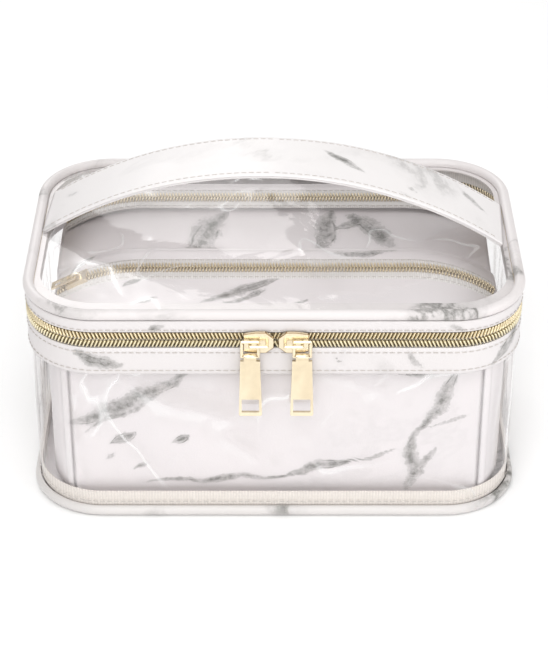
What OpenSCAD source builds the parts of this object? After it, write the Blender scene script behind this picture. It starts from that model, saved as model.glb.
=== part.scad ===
// Clear-sided makeup train case with a zipped, hinged lid, a strap handle and two zipped pouches inside.
// Millimetres. +Z is up, -Y is the front, and the origin is the middle of the base's underside.

/* [Case] */
// Width across the clear wall
case_w = 236; // [210:1:260]
// Depth across the clear wall
case_d = 150; // [140:1:170]
// Radius of the wall's vertical corners
corner_r = 34; // [28:1:40]
// Thickness of the clear vinyl
vinyl_t = 0.8; // [0.6:0.1:1.0]
// Radius of the base welt and of the lid welt
welt_r = 2.6; // [2.2:0.1:2.8]

/* [Lid and zip] */
// Height of the line where the lid parts from the case
split_z = 103.1; // [98:0.1:108]
// Height of one half of the main zip chain
chain_h = 3.6; // [3:0.1:4]
// Half the thickness of the main zip chain
chain_half_t = 1.4; // [1.2:0.1:1.5]
// Height of the marbled band under the zip
band_h = 14.8; // [10:0.1:20]
// Width of the marbled border along the front of the lid window
border_w = 9; // [6:0.1:12]
// Width of that border along the ends and the back
side_border_w = 2.4; // [2:0.1:5]
// Length of the soft hinge across the back
hinge_w = 152; // [120:1:160]

/* [Handle] */
// Width of the strap
strap_w = 40; // [30:1:44]
// Thickness of the strap
strap_t = 2.2; // [1.6:0.1:2.6]
// Height of the top of the strap's arch
strap_top_z = 152; // [142:1:156]
// Turn of the strap in plan
strap_skew = -3.3; // [-4:0.1:4]
// Distance of the strap behind the middle
strap_back = 15.5; // [0:0.5:20]

/* [Main sliders] */
// Middle of the pair of sliders along the front
slider_mid_x = 1; // [-4:0.5:4]
// Length of a slider
slider_l = 14; // [12:0.5:16]
// Length of a pull tab below its pivot
tab_l = 33.2; // [24:0.2:36]
// Width of a pull tab
tab_w = 11; // [9:0.5:12]

/* [Pouches] */
// Length of each pouch
pouch_w = 220; // [200:1:222]
// Height of the front pouch's top
front_top_z = 107; // [98:0.5:108]
// Height of the rear pouch's top
rear_top_z = 108.5; // [98:0.5:109]
// Radius of the pouch's top corners
pouch_r = 70; // [60:1:80]

/* [Hidden] */
$fn = 48;

MARBLE = [0.94, 0.92, 0.91];
CLEAR = [0.9, 0.93, 0.95, 0.3];
GOLD = [0.85, 0.68, 0.42];
TAPE = [0.91, 0.87, 0.81];
BOARD = [0.6, 0.55, 0.48];

panel_t = 1.2;
board_t = 2;
lining_t = 0.8;
ply_gap = 0.6;
floor_z = panel_t + board_t + lining_t;
welt_z = welt_r + 0.4;
split_gap = 0.4;
wall_top_z = split_z - split_gap - chain_h - 0.3;
lid_base_z = split_z + split_gap + chain_h + 0.1;
band_t = 1;
lid_welt_in = 0.6;
lid_welt_z = lid_base_z + 9;
lid_band_top = lid_welt_z - welt_r - 0.1;
window_z = lid_welt_z - 0.8;
window_t = 0.6;
window_in = lid_welt_in + welt_r + 0.1;
tape_t = 0.6;
woven_t = 0.6;
strip_t = 1;

// A rectangle w by d with its corners rounded to r.
module rounded(w, d, r) {
    square([w - 2 * r, d], center = true);
    square([w, d - 2 * r], center = true);
    for (sx = [-1, 1], sy = [-1, 1])
        translate([sx * (w / 2 - r), sy * (d / 2 - r)]) circle(r);
}

// The wall's plan moved out by grow.
module plan(grow) rounded(case_w + 2 * grow, case_d + 2 * grow, corner_r + grow);

// A plate with the wall's plan.
module plate(grow, z, t) {
    translate([0, 0, z]) linear_extrude(t) plan(grow);
}

// A ring that follows the wall from offset inner to offset outer.
module wall_ring(outer, inner, z, h) {
    translate([0, 0, z]) linear_extrude(h) difference() {
        plan(outer);
        plan(inner);
    }
}

// Carries a profile, drawn with x outwards from the wall, round the whole wall.
module round_wall() {
    mid_x = case_w / 2 - corner_r;
    mid_y = case_d / 2 - corner_r;
    for (turn = [0 : 3]) {
        flip = turn % 2;
        corner = [[mid_x, mid_y], [-mid_x, mid_y], [-mid_x, -mid_y], [mid_x, -mid_y]][turn];
        run = flip == 0 ? 2 * mid_y : 2 * mid_x;
        translate(corner) rotate([0, 0, 90 * turn]) rotate_extrude(angle = 90)
            translate([corner_r, 0]) children();
        translate(corner) rotate([0, 0, 90 * turn]) rotate([90, 0, 0])
            linear_extrude(run) translate([corner_r, 0]) children();
    }
}

// Takes the stretch of a ring that the hinge fills out of it.
module without_hinge(z, h) {
    difference() {
        children();
        translate([-hinge_w / 2 - 2, case_d / 2 - 10, z - 1]) cube([hinge_w + 4, 20, h + 2]);
    }
}

module base_panel() color(MARBLE) plate(0, 0, panel_t);
module base_board() color(BOARD) plate(-vinyl_t - ply_gap, panel_t, board_t);
module base_lining() color(MARBLE) plate(-vinyl_t - ply_gap, panel_t + board_t, lining_t);

// Half-round welt sewn over the seam between the base and the wall.
module base_welt() color(MARBLE) translate([0, 0, welt_z]) round_wall() intersection() {
    circle(welt_r);
    translate([0.05, -welt_r]) square([welt_r, 2 * welt_r]);
}

module seam_tape() color(TAPE) wall_ring(-vinyl_t, -vinyl_t - woven_t, 5, 8.5);
module clear_wall() color(CLEAR) wall_ring(0, -vinyl_t, panel_t, wall_top_z - panel_t);
module upper_band() color(MARBLE) wall_ring(band_t, 0.05, wall_top_z - band_h, band_h);
module lower_zip_tape() color(TAPE) wall_ring(-vinyl_t - 0.05, -vinyl_t - 0.05 - tape_t, wall_top_z - 9, 9.2);

module lower_zip_chain() {
    z = split_z - split_gap - chain_h;
    color(GOLD) without_hinge(z, chain_h) wall_ring(chain_half_t, -chain_half_t, z, chain_h);
}

module upper_zip_chain() {
    z = split_z + split_gap;
    color(GOLD) without_hinge(z, chain_h) wall_ring(chain_half_t, -chain_half_t, z, chain_h);
}

// A metal stop clenched over the end of the lower chain. side is -1 or 1.
module zip_stop(side) {
    stop_l = 1.8;
    x = side > 0 ? hinge_w / 2 + 0.1 : -hinge_w / 2 - 0.1 - stop_l;
    color(GOLD) translate([x, case_d / 2 - 1.7, split_z - split_gap - chain_h])
        cube([stop_l, 2.6, chain_h]);
}

// The soft hinge's lower half, sewn to the case.
module hinge_strip() {
    z = wall_top_z - 10;
    color(MARBLE) translate([-hinge_w / 2, case_d / 2 + band_t + 0.2, z])
        cube([hinge_w, strip_t, split_z - 0.2 - z]);
}

// The soft hinge's upper half, sewn to the lid.
module hinge_flap()
    color(MARBLE) translate([-hinge_w / 2, case_d / 2 + band_t + 0.2, split_z + 0.2])
        cube([hinge_w, strip_t, 9]);

module lid_window() color(CLEAR) plate(-window_in, window_z, window_t);
module lid_border() color(MARBLE) translate([0, 0, window_z - 0.8]) linear_extrude(0.75) difference() {
    plan(-window_in);
    translate([0, (border_w - side_border_w) / 2]) rounded(case_w - 2 * (window_in + side_border_w),
        case_d - 2 * window_in - border_w - side_border_w, corner_r - window_in - side_border_w);
}
module lid_welt() color(MARBLE) translate([0, 0, lid_welt_z]) round_wall()
    translate([-lid_welt_in, 0]) circle(welt_r);
module lid_band() color(MARBLE) wall_ring(band_t, -0.4, lid_base_z, lid_band_top - lid_base_z);
module upper_zip_tape() color(TAPE)
    wall_ring(-0.45, -0.45 - tape_t, lid_base_z + 0.05, lid_band_top - lid_base_z - 0.1);

// Strap: an arch of strap_t thick whose feet stand on the lid window, cut into two feet and a span.
foot_x = 113;
foot_z = window_z + window_t + 1.3;
strap_rise = strap_top_z - foot_z;
strap_r = (foot_x * foot_x + strap_rise * strap_rise) / (2 * strap_rise);
strap_end = asin(foot_x / strap_r);
span_x = 97;
span_gap = 0.4;

module strap_place() translate([0, strap_back, strap_top_z - strap_r]) rotate([0, 0, strap_skew]) children();

module strap_arc(inner, outer) rotate([90, 0, 0]) rotate([0, 0, 90 - strap_end])
    rotate_extrude(angle = 2 * strap_end, $fn = 160)
        translate([inner, -strap_w / 2]) square([outer - inner, strap_w]);

module handle_span(inner, outer) intersection() {
    strap_arc(inner, outer);
    translate([-span_x, -strap_w, 0]) cube([2 * span_x, 2 * strap_w, 2 * strap_r]);
}

// side is -1 or 1.
module handle_end(side) color(MARBLE) strap_place() intersection() {
    strap_arc(strap_r - strap_t / 2, strap_r + strap_t / 2);
    translate([side > 0 ? span_x + span_gap : -span_x - span_gap - 30, -strap_w, 0])
        cube([30, 2 * strap_w, 2 * strap_r]);
}

module handle_strap() color(MARBLE) strap_place() handle_span(strap_r - 0.1, strap_r + strap_t / 2);
module handle_lining() color(MARBLE) strap_place() handle_span(strap_r - strap_t / 2, strap_r - 0.15);

// Main slider, drawn about its middle on the wall's outer face, with the front towards -Y.
outer_gap = 0.4;
wing_t = 1.6;
wing_h = 11.2;
crown_r = 0.8;
crown_leg = 4;
crown_out = 3.6;
plate_out = chain_half_t + outer_gap + wing_t;
link_r = 0.75;
link_out = plate_out + 1.8;
link_half_w = 3.9;
link_top = crown_r + link_r + 0.1;
link_drop = 6.4;
slider_dx = slider_l / 2 + 1.2;

// side is -1 for the left slider and 1 for the right.
module slider_place(side) translate([slider_mid_x + side * slider_dx, -case_d / 2, split_z]) children();
module peg_place(side) slider_place(side) translate([side * crown_leg, -link_out, 0]) children();

// A wing of the slider: a plate whose nose end is narrower. nose is -1 or 1.
module wing(nose, y, t) translate([0, y, 0]) rotate([90, 0, 0]) linear_extrude(t) polygon([
    [-nose * slider_l / 2, -wing_h * 0.42], [-nose * slider_l * 0.1, -wing_h / 2],
    [nose * slider_l * 0.25, -wing_h / 2], [nose * slider_l / 2, -wing_h * 0.24],
    [nose * slider_l / 2, wing_h * 0.24], [nose * slider_l * 0.25, wing_h / 2],
    [-nose * slider_l * 0.1, wing_h / 2], [-nose * slider_l / 2, wing_h * 0.42]]);

module slider_body(side) color(GOLD) slider_place(side) {
    inner_face = chain_half_t + outer_gap;
    wing(-side, -inner_face, wing_t);
    wing(-side, inner_face + 1.2, 1.2);
    translate([-side * slider_l * 0.3 - 2, -inner_face - 0.5, -0.25]) cube([4, 2 * inner_face + 1, 0.5]);
}

module slider_crown(side) color(GOLD) slider_place(side) {
    for (leg = [-1, 1]) {
        translate([leg * crown_leg, -plate_out, 0]) rotate([90, 0, 0]) cylinder(h = crown_out, r = crown_r);
        translate([leg * crown_leg, -plate_out - crown_out, 0]) sphere(crown_r);
    }
    translate([-crown_leg, -plate_out - crown_out, 0]) rotate([0, 90, 0])
        cylinder(h = 2 * crown_leg, r = crown_r);
}

module pull_link(side) color(GOLD) peg_place(side) {
    for (x = [-1, 1]) {
        translate([x * link_half_w, 0, -link_drop]) cylinder(h = link_drop + link_top, r = link_r);
        for (z = [-link_drop, link_top]) translate([x * link_half_w, 0, z]) sphere(link_r);
    }
    for (z = [-link_drop, link_top]) translate([-link_half_w, 0, z]) rotate([0, 90, 0])
        cylinder(h = 2 * link_half_w, r = link_r);
}

// Tab hung from the link's lower bar: a rolled eye, a plate and a window near its foot.
module pull_tab(side) color(GOLD) peg_place(side) translate([0, 0, -link_drop]) {
    eye_r = 1.55;
    eye_l = 2 * (link_half_w - link_r - 0.12);
    tab_t = 1.5;
    shoulder = 2.2;
    top_w = tab_w - 1.7;
    foot_fillet = 1;
    difference() {
        union() {
            translate([-eye_l / 2, 0, 0]) rotate([0, 90, 0]) cylinder(h = eye_l, r = eye_r);
            translate([-eye_l / 2, -tab_t / 2, -shoulder - 1]) cube([eye_l, tab_t, shoulder + 1]);
            translate([0, tab_t / 2, 0]) rotate([90, 0, 0]) linear_extrude(tab_t) {
                polygon([[-top_w / 2, -shoulder], [top_w / 2, -shoulder],
                    [tab_w / 2, -tab_l + foot_fillet], [-tab_w / 2, -tab_l + foot_fillet]]);
                translate([-tab_w / 2 + foot_fillet, -tab_l]) square([tab_w - 2 * foot_fillet, foot_fillet + 0.5]);
                for (x = [-1, 1]) translate([x * (tab_w / 2 - foot_fillet), -tab_l + foot_fillet])
                    circle(foot_fillet);
            }
        }
        translate([-eye_l, 0, 0]) rotate([0, 90, 0]) cylinder(h = 2 * eye_l, r = link_r + 0.07);
        translate([-tab_w / 2 + 1.4, -tab_t, -tab_l + 2]) cube([tab_w - 2.8, 2 * tab_t, 7.4]);
    }
}

// Pouch: flat sides, and a top that turns down over each end on an arc.
arc_dx = 66;
foot_r = 8;
front_pouch = [2, -70.5, 4, front_top_z, -18];
rear_pouch = [0, 8, 70.5, rear_top_z, 50];
pouch_floor_z = floor_z + 0.2;

// The pouch's outline seen from the front, drawn in from its full size by inset.
module pouch_front(top, inset) intersection() {
    union() {
        translate([-arc_dx, pouch_floor_z + inset]) square([2 * arc_dx, top - pouch_floor_z - 2 * inset]);
        for (s = [-1, 1]) translate([s * arc_dx, top - pouch_r]) circle(pouch_r - inset, $fn = 160);
    }
    union() {
        translate([-pouch_w / 2 + inset, pouch_floor_z + foot_r])
            square([pouch_w - 2 * inset, top]);
        translate([-pouch_w / 2 + foot_r, pouch_floor_z + inset]) square([pouch_w - 2 * foot_r, top]);
        for (s = [-1, 1]) translate([s * (pouch_w / 2 - foot_r), pouch_floor_z + foot_r])
            circle(foot_r - inset);
    }
}

// p is [middle in x, front, back, top, plane of the zip]. The ends follow the wall's rounded corners.
module pouch_body(p) color(MARBLE) intersection() {
    translate([p[0], p[2], 0]) rotate([90, 0, 0]) linear_extrude(p[2] - p[1]) pouch_front(p[3], 0);
    plate(-2.6, 0, p[3] + 1);
}

// A block swept about the arc's centre, from r0 to r1, and from a0 to a1 degrees above +X.
module arc_block(r0, r1, half_y, a0, a1) rotate([90, 0, 0]) rotate([0, 0, a0])
    rotate_extrude(angle = a1 - a0, $fn = 160) translate([r0, -half_y]) square([r1 - r0, 2 * half_y]);

pouch_chain_h = 1.8;
pouch_chain_half_w = 2.8;
pouch_chain_end = 36;

module pouch_chain(p) color(GOLD) translate([p[0], p[4], 0]) {
    for (s = [-1, 1]) translate([s * arc_dx, 0, p[3] - pouch_r])
        arc_block(pouch_r + 0.02, pouch_r + pouch_chain_h, pouch_chain_half_w,
            s > 0 ? 90 - pouch_chain_end : 90, s > 0 ? 90 : 90 + pouch_chain_end);
    translate([-arc_dx, -pouch_chain_half_w, p[3] + 0.02])
        cube([2 * arc_dx, 2 * pouch_chain_half_w, pouch_chain_h - 0.02]);
}

pouch_slider_at = 27;
pouch_slider_span = 4.5;
saddle_in = 0.4;
saddle_out = 3.3;
bail_r = 2.4;
bail_wire = 0.7;
pull_pin_r = 0.55;
pull_pin_up = 1;

// side is -1 where the slider is at the left end and 1 at the right.
module pouch_slider_place(p, side) translate([p[0] + side * arc_dx, p[4], p[3] - pouch_r]) children();

// Drawn with x away from the pouch, z along the zip and the origin in the middle of the bail.
module pouch_bail_place(p, side) pouch_slider_place(p, side)
    rotate([0, side * pouch_slider_at - 90, 0]) translate([pouch_r + saddle_out - 0.2, 0, 0]) children();

module pouch_slider(p, side) color(GOLD) {
    a = 90 - side * pouch_slider_at;
    pouch_slider_place(p, side) arc_block(pouch_r + pouch_chain_h + 0.3, pouch_r + saddle_out, 4.4,
        a - pouch_slider_span, a + pouch_slider_span);
    for (s = [-1, 1]) pouch_slider_place(p, side) translate([0, s * 3.8, 0])
        arc_block(pouch_r + saddle_in, pouch_r + saddle_out, 0.6, a - pouch_slider_span, a + pouch_slider_span);
    pouch_bail_place(p, side) rotate([90, 0, 0]) rotate([0, 0, -90])
        rotate_extrude(angle = 180) translate([bail_r, 0]) circle(bail_wire);
}

// A small tab that lies on the slope outside the slider, held by a pin under the bail.
module pouch_pull(p, side) color(GOLD) pouch_bail_place(p, side) translate([pull_pin_up, 0, 0])
    mirror([0, 0, side > 0 ? 1 : 0]) {
        arm = 4.4;
        pull_l = 13;
        translate([0, 3, 0]) rotate([90, 0, 0]) cylinder(h = 6, r = pull_pin_r);
        translate([-0.45, -3, 0]) difference() {
            cube([0.9, 6, pull_l]);
            translate([-1, 1.2, -1]) cube([3, 3.6, arm + 1]);
            translate([-1, 1.2, pull_l - 5.2]) cube([3, 3.6, 3.6]);
        }
    }

base_panel();
base_board();
base_lining();
base_welt();
seam_tape();
clear_wall();
upper_band();
lower_zip_tape();
lower_zip_chain();
zip_stop(-1);  // zip_stop_left
zip_stop(1);  // zip_stop_right
hinge_strip();
lid_window();
lid_border();
lid_welt();
lid_band();
upper_zip_tape();
upper_zip_chain();
hinge_flap();
handle_end(-1);  // handle_end_left
handle_end(1);  // handle_end_right
handle_strap();
handle_lining();
slider_body(-1);  // slider_left_body
slider_crown(-1);  // slider_left_crown
pull_link(-1);  // pull_link_left
pull_tab(-1);  // pull_tab_left
slider_body(1);  // slider_right_body
slider_crown(1);  // slider_right_crown
pull_link(1);  // pull_link_right
pull_tab(1);  // pull_tab_right
pouch_body(front_pouch);  // front_pouch_body
pouch_chain(front_pouch);  // front_pouch_chain
pouch_slider(front_pouch, -1);  // front_pouch_slider
pouch_pull(front_pouch, -1);  // front_pouch_pull
pouch_body(rear_pouch);  // rear_pouch_body
pouch_chain(rear_pouch);  // rear_pouch_chain
pouch_slider(rear_pouch, 1);  // rear_pouch_slider
pouch_pull(rear_pouch, 1);  // rear_pouch_pull
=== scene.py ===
"""Looks of a clear-sided makeup train case: marble-print trim, two zipped pouches inside and a strap handle.

Blender objects are in metres. Lengths inside the script are in millimetres,
and mesh() turns them into metres.
"""
import math
import random

import bpy
import numpy as np
from mathutils import Matrix, Vector, noise


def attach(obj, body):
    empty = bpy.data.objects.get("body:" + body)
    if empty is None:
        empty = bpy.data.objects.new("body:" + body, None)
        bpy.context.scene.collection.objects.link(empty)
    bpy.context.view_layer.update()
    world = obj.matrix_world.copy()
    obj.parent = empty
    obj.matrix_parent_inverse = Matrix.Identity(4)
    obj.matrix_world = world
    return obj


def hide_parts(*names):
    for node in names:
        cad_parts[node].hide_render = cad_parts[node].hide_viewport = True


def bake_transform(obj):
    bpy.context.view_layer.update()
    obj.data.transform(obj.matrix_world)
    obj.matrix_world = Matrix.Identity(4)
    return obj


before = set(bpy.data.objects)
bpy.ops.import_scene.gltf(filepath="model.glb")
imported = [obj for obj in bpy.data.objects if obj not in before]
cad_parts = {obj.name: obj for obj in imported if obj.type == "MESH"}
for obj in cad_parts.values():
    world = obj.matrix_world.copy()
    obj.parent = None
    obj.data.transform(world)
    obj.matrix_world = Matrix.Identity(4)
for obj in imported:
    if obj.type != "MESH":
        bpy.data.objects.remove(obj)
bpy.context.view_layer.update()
scene = bpy.context.scene
MM = 0.001

# Sizes repeated from part.scad, in millimetres.
CASE_W, CASE_D, CORNER_R = 236.0, 150.0, 34.0
WALL_TOP, SPLIT, LID_BASE = 98.8, 103.1, 107.2
WINDOW_Z = 115.4
HINGE_W = 152.0
FOOT_X, STRAP_TOP, STRAP_W, STRAP_T = 113.0, 152.0, 40.0, 2.2
STRAP_BACK, STRAP_SKEW = 15.5, math.radians(-3.3)
FRONT_POUCH = dict(mid=1.0, front=-68.0, back=4.0, top=107.0, zip_y=-18.0)
REAR_POUCH = dict(mid=0.0, front=8.0, back=68.0, top=108.5, zip_y=50.0, slack=11.0)
POUCH_FLOOR, POUCH_HALF, ARC_DX, ARC_R = 4.2, 110.0, 66.0, 70.0


# ---------------------------------------------------------------- helpers

def mesh(name, points, faces, *materials, smooth=True, slots=None):
    """A mesh object from points in millimetres. slots gives each face its material's number."""
    data = bpy.data.meshes.new(name)
    data.from_pydata([tuple(p) for p in np.asarray(points, float) * MM], [], [tuple(f) for f in faces])
    for m in materials:
        data.materials.append(m)
    if slots is not None:
        data.polygons.foreach_set("material_index", slots)
    data.polygons.foreach_set("use_smooth", [smooth] * len(data.polygons))
    data.update()
    obj = bpy.data.objects.new(name, data)
    scene.collection.objects.link(obj)
    return obj


def grid_faces(rows, cols, wrap=False, start=0):
    """Quads between rows of cols points each. wrap joins the last column to the first."""
    last = cols if wrap else cols - 1
    return [
        (start + r * cols + c, start + r * cols + (c + 1) % cols,
         start + (r + 1) * cols + (c + 1) % cols, start + (r + 1) * cols + c)
        for r in range(rows - 1) for c in range(last)
    ]


class Shape:
    """Collects points and faces of many small pieces that end up in one mesh."""

    def __init__(self):
        self.points, self.faces, self.slots = [], [], []

    def add(self, points, faces, slot=0):
        start = len(self.points)
        self.points.extend(np.asarray(points, float).tolist())
        self.faces.extend(tuple(start + i for i in f) for f in faces)
        self.slots.extend([slot] * len(faces))

    def object(self, name, *materials, smooth=True):
        return mesh(name, self.points, self.faces, *materials, smooth=smooth, slots=self.slots)


SIDE_X, SIDE_Y, QUARTER = CASE_W - 2 * CORNER_R, CASE_D - 2 * CORNER_R, math.pi / 2 * CORNER_R
ROUND = 2 * SIDE_X + 2 * SIDE_Y + 4 * QUARTER


def on_wall(s, out=0.0):
    """Point (x, y) and outward normal at a distance s round the wall, from the middle of the back by way of
    the left end. out moves the point off the wall's outer face."""
    s = s % ROUND
    hx, hy = SIDE_X / 2, SIDE_Y / 2
    runs = [
        (hx, (0, CASE_D / 2), (-1, 0), None), (QUARTER, (-hx, hy), 90, "turn"),
        (SIDE_Y, (-CASE_W / 2, hy), (0, -1), None), (QUARTER, (-hx, -hy), 180, "turn"),
        (SIDE_X, (-hx, -CASE_D / 2), (1, 0), None), (QUARTER, (hx, -hy), 270, "turn"),
        (SIDE_Y, (CASE_W / 2, -hy), (0, 1), None), (QUARTER, (hx, hy), 0, "turn"),
        (hx, (hx, CASE_D / 2), (-1, 0), None),
    ]
    for length, place, way, kind in runs:
        if s <= length or (length, place) == (runs[-1][0], runs[-1][1]):
            if kind:
                a = math.radians(way) + s / CORNER_R
                n = (math.cos(a), math.sin(a))
                x, y = place[0] + CORNER_R * n[0], place[1] + CORNER_R * n[1]
            else:
                n = (way[1], -way[0])
                x, y = place[0] + s * way[0], place[1] + s * way[1]
            return np.array((x + out * n[0], y + out * n[1])), np.array(n)
        s -= length
    raise ValueError("s is past the end of the wall")


def ring(profile, steps=360, first=0.0, last=ROUND):
    """Sweeps a closed profile of (out, z) points round the wall. Returns points and faces."""
    closed = abs(last - first - ROUND) < 1e-6
    stations = np.linspace(first, last, steps, endpoint=not closed)
    points = []
    for s in stations:
        for out, z in profile:
            (x, y), _ = on_wall(s, out)
            points.append((x, y, z))
    k = len(profile)
    faces = []
    for i in range(steps if closed else steps - 1):
        j = (i + 1) % steps
        faces += [(i * k + m, i * k + (m + 1) % k, j * k + (m + 1) % k, j * k + m) for m in range(k)]
    if not closed:
        faces += [tuple(range(k))[::-1], tuple((steps - 1) * k + m for m in range(k))]
    return points, faces


def dash(shape, a, b, radius, up, slot=0):
    """One stitch: a small capsule from a to b, flattened against the surface whose normal is up."""
    a, b, up = (np.asarray(v, float) for v in (a, b, up))
    along = b - a
    along /= np.linalg.norm(along)
    side = np.cross(along, up)
    points = []
    for t, r in ((0.0, 0.35), (0.16, 0.95), (0.5, 1.0), (0.84, 0.95), (1.0, 0.35)):
        centre = a + (b - a) * t
        for k in range(6):
            w = 2 * math.pi * k / 6
            points.append(centre + radius * r * (math.cos(w) * side + 0.8 * math.sin(w) * up))
    ends = [tuple(range(6))[::-1], tuple(24 + k for k in range(6))]
    shape.add(points, grid_faces(5, 6, wrap=True) + ends, slot)


def stitch_line(shape, path, ups, length=2.5, gap=0.9, radius=0.24, slot=0, lift=0.1):
    """Stitches along a polyline of points with a surface normal for each point."""
    path, ups = np.asarray(path, float), np.asarray(ups, float)
    steps = np.linalg.norm(np.diff(path, axis=0), axis=1)
    run = np.concatenate([[0], np.cumsum(steps)])

    def at(s):
        return (np.array([np.interp(s, run, path[:, k]) for k in range(3)]),
                np.array([np.interp(s, run, ups[:, k]) for k in range(3)]))

    s = gap
    while s + length < run[-1]:
        (a, u), (b, _) = at(s), at(s + length)
        dash(shape, a + u * lift, b + u * lift, radius, u / np.linalg.norm(u), slot)
        s += length + gap


def wall_line(z, out, first=0.0, last=ROUND, steps=400):
    """A polyline round the wall at one height, with its normals, for stitches."""
    line, ups = [], []
    for s in np.linspace(first, last, steps):
        (x, y), (nx, ny) = on_wall(s, out)
        line.append((x, y, z))
        ups.append((nx, ny, 0))
    return line, ups


# ---------------------------------------------------------------- materials

def new_material(name, colour=(0.8, 0.8, 0.8), roughness=0.5, metallic=0.0):
    """A Principled material. Returns it with its node tree and shader node."""
    m = bpy.data.materials.new(name)
    m.use_nodes = True
    tree = m.node_tree
    shader = tree.nodes["Principled BSDF"]
    shader.inputs["Base Color"].default_value = (*colour, 1)
    shader.inputs["Roughness"].default_value = roughness
    shader.inputs["Metallic"].default_value = metallic
    return m, tree, shader


def add(tree, kind, **values):
    """Adds a node. Keyword values set its properties, or its inputs where the name is an input's."""
    node = tree.nodes.new(kind)
    for key, value in values.items():
        name = key.replace("_", " ")
        if hasattr(node, key):
            setattr(node, key, value)
        else:
            node.inputs[name].default_value = value
    return node


def noise_at(tree, scale, detail=4.0, roughness=0.5, distortion=0.0, where=None):
    n = add(tree, "ShaderNodeTexNoise")
    n.inputs["Scale"].default_value = scale
    n.inputs["Detail"].default_value = detail
    n.inputs["Roughness"].default_value = roughness
    n.inputs["Distortion"].default_value = distortion
    tree.links.new(where or coordinates(tree), n.inputs["Vector"])
    return n.outputs["Fac"]


def coordinates(tree):
    found = tree.nodes.get("Coordinates")
    if found is None:
        found = tree.nodes.new("ShaderNodeTexCoord")
        found.name = "Coordinates"
    return found.outputs["Object"]


def ramp(tree, value, *stops):
    """Maps a value through (position, grey or colour) stops."""
    r = tree.nodes.new("ShaderNodeValToRGB")
    while len(r.color_ramp.elements) < len(stops):
        r.color_ramp.elements.new(1.0)
    for e, (position, colour) in zip(r.color_ramp.elements, stops):
        e.position = position
        e.color = (colour, colour, colour, 1) if isinstance(colour, (int, float)) else (*colour, 1)
    tree.links.new(value, r.inputs["Fac"])
    return r.outputs["Color"]


def maths(tree, operation, a, b=0.5, clamp=False):
    n = tree.nodes.new("ShaderNodeMath")
    n.operation = operation
    n.use_clamp = clamp
    for socket, v in zip(n.inputs, (a, b)):
        if isinstance(v, (int, float)):
            socket.default_value = v
        else:
            tree.links.new(v, socket)
    return n.outputs[0]


def mix(tree, factor, a, b, blend="MIX"):
    n = tree.nodes.new("ShaderNodeMix")
    n.data_type = "RGBA"
    n.blend_type = blend
    for socket, v in ((n.inputs["Factor"], factor), (n.inputs["A"], a), (n.inputs["B"], b)):
        if isinstance(v, (int, float)):
            socket.default_value = v
        elif isinstance(v, tuple):
            socket.default_value = (*v, 1)
        else:
            tree.links.new(v, socket)
    return n.outputs["Result"]


def bump(tree, shader, height, strength, distance, under=None):
    b = tree.nodes.new("ShaderNodeBump")
    b.inputs["Strength"].default_value = strength
    b.inputs["Distance"].default_value = distance
    tree.links.new(height, b.inputs["Height"])
    if under is not None:
        tree.links.new(under, b.inputs["Normal"])
    tree.links.new(b.outputs["Normal"], shader.inputs["Normal"])
    return b.outputs["Normal"]


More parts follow.
